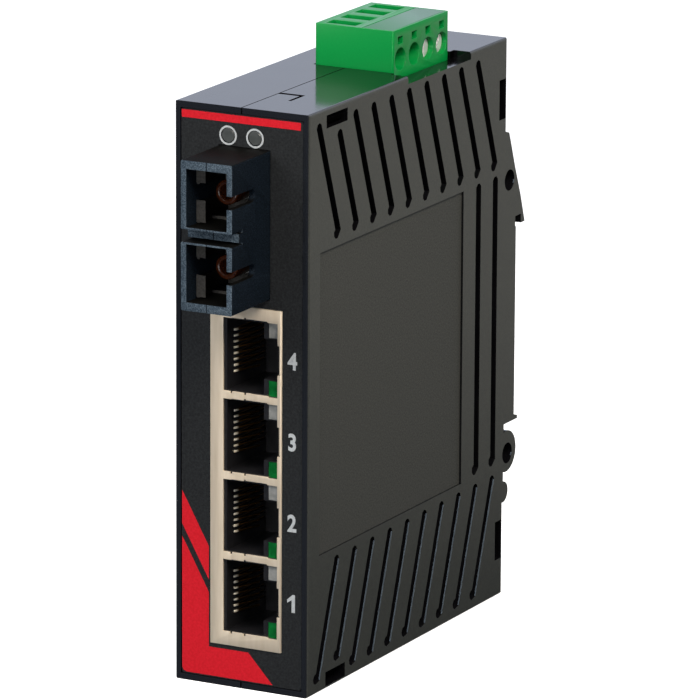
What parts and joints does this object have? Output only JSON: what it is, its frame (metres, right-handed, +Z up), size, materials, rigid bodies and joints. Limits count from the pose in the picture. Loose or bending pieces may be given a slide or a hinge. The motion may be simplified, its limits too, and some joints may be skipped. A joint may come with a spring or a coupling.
{
  "type": "din rail ethernet switch",
  "caption": "Slim upright rail-mounted network switch with a column of copper ports, a duplex fibre receptacle and a pull-off screw terminal.",
  "frame": {"origin": "centre of the flat seat that rests on the rail's face, on the seam between the two half shells", "axes": "+Z up along the case height, +Y from the front panel towards the rail, +X to the right when looking at the front"},
  "size_m": [0.0254, 0.0928, 0.1074],
  "materials": {
    "housing": "moulded black ABS/PC, textured sides",
    "label": "printed polyester sheet, black with red",
    "board": "green solder mask on glass epoxy",
    "shield": "tin-plated nickel silver sheet",
    "black_plastic": "moulded black thermoplastic",
    "gold": "gold plating",
    "clear_lamp": "clear epoxy",
    "green_lamp": "tinted epoxy",
    "status_lamp": "diffused grey epoxy",
    "transceiver": "moulded blue-black thermoplastic",
    "barrel": "amber polyetherimide",
    "latch": "moulded grey thermoplastic",
    "leads": "tinned",
    "chip": "moulded epoxy",
    "capacitor": "bare aluminium can",
    "crystal": "nickel-plated can",
    "green_plastic": "moulded green polyamide",
    "cap": "moulded grey-green polyamide",
    "clamp_steel": "zinc-plated steel",
    "contact": "tin-plated copper alloy"
  },
  "bodies": {
    "switch_case": {"housing_left": "housing", "housing_right": "housing", "front_label": "label", "main_board": "board", "line_transformer_1": "chip", "line_transformer_2": "chip", "switch_chip": "chip", "power_chip": "chip", "supply_inductor": "chip", "clock_crystal": "crystal", "supply_capacitors": "capacitor", "jack_shield": "shield", "jack_body": "black_plastic", "port_1_contacts": "gold", "port_2_contacts": "gold", "port_3_contacts": "gold", "port_4_contacts": "gold", "clear_port_lamps": "clear_lamp", "green_port_lamps": "green_lamp", "transceiver_housing": "transceiver", "optical_barrels": "barrel", "transceiver_latches": "latch", "transceiver_leads": "leads", "status_lamp_left": "status_lamp", "status_lamp_right": "status_lamp", "power_header": "green_plastic", "header_pins": "leads"},
    "terminal_plug": {"plug_body": "green_plastic", "plug_cap": "cap", "clamp_frame_1": "clamp_steel", "plug_contact_1": "contact", "clamp_frame_2": "clamp_steel", "plug_contact_2": "contact", "clamp_frame_3": "clamp_steel", "plug_contact_3": "contact", "clamp_frame_4": "clamp_steel", "plug_contact_4": "contact"},
    "clamp_plate_1": {"clamp_plate_1": "clamp_steel"},
    "terminal_screw_1": {"terminal_screw_1": "clamp_steel"},
    "clamp_plate_2": {"clamp_plate_2": "clamp_steel"},
    "terminal_screw_2": {"terminal_screw_2": "clamp_steel"},
    "clamp_plate_3": {"clamp_plate_3": "clamp_steel"},
    "terminal_screw_3": {"terminal_screw_3": "clamp_steel"},
    "clamp_plate_4": {"clamp_plate_4": "clamp_steel"},
    "terminal_screw_4": {"terminal_screw_4": "clamp_steel"}
  },
  "joints": [
    {"name": "plug_slide", "type": "slide", "parent": "switch_case", "child": "terminal_plug", "axis": [0, 0, 1], "range_m": [0, 0.014]},
    {"name": "clamp_1_slide", "type": "slide", "parent": "terminal_plug", "child": "clamp_plate_1", "axis": [1, 0, 0], "range_m": [0, 0.003]},
    {"name": "screw_1_turn", "type": "hinge", "parent": "clamp_plate_1", "child": "terminal_screw_1", "pos_m": [0.006, -0.03742, 0.0525], "axis": [1, 0, 0], "range_deg": [0, 2163]},
    {"name": "clamp_2_slide", "type": "slide", "parent": "terminal_plug", "child": "clamp_plate_2", "axis": [1, 0, 0], "range_m": [0, 0.003]},
    {"name": "screw_2_turn", "type": "hinge", "parent": "clamp_plate_2", "child": "terminal_screw_2", "pos_m": [0.006, -0.03234, 0.0525], "axis": [1, 0, 0], "range_deg": [0, 2163]},
    {"name": "clamp_3_slide", "type": "slide", "parent": "terminal_plug", "child": "clamp_plate_3", "axis": [1, 0, 0], "range_m": [-0.003, 0]},
    {"name": "screw_3_turn", "type": "hinge", "parent": "clamp_plate_3", "child": "terminal_screw_3", "pos_m": [0.006, -0.02726, 0.0525], "axis": [1, 0, 0], "range_deg": [-2163, 0]},
    {"name": "clamp_4_slide", "type": "slide", "parent": "terminal_plug", "child": "clamp_plate_4", "axis": [1, 0, 0], "range_m": [-0.003, 0]},
    {"name": "screw_4_turn", "type": "hinge", "parent": "clamp_plate_4", "child": "terminal_screw_4", "pos_m": [0.006, -0.02218, 0.0525], "axis": [1, 0, 0], "range_deg": [-2163, 0]}
  ],
  "couplings": [
    {"joint": "screw_1_turn", "follows": "clamp_1_slide", "rad_per_m": 12566},
    {"joint": "screw_2_turn", "follows": "clamp_2_slide", "rad_per_m": 12566},
    {"joint": "screw_3_turn", "follows": "clamp_3_slide", "rad_per_m": 12566},
    {"joint": "screw_4_turn", "follows": "clamp_4_slide", "rad_per_m": 12566}
  ]
}
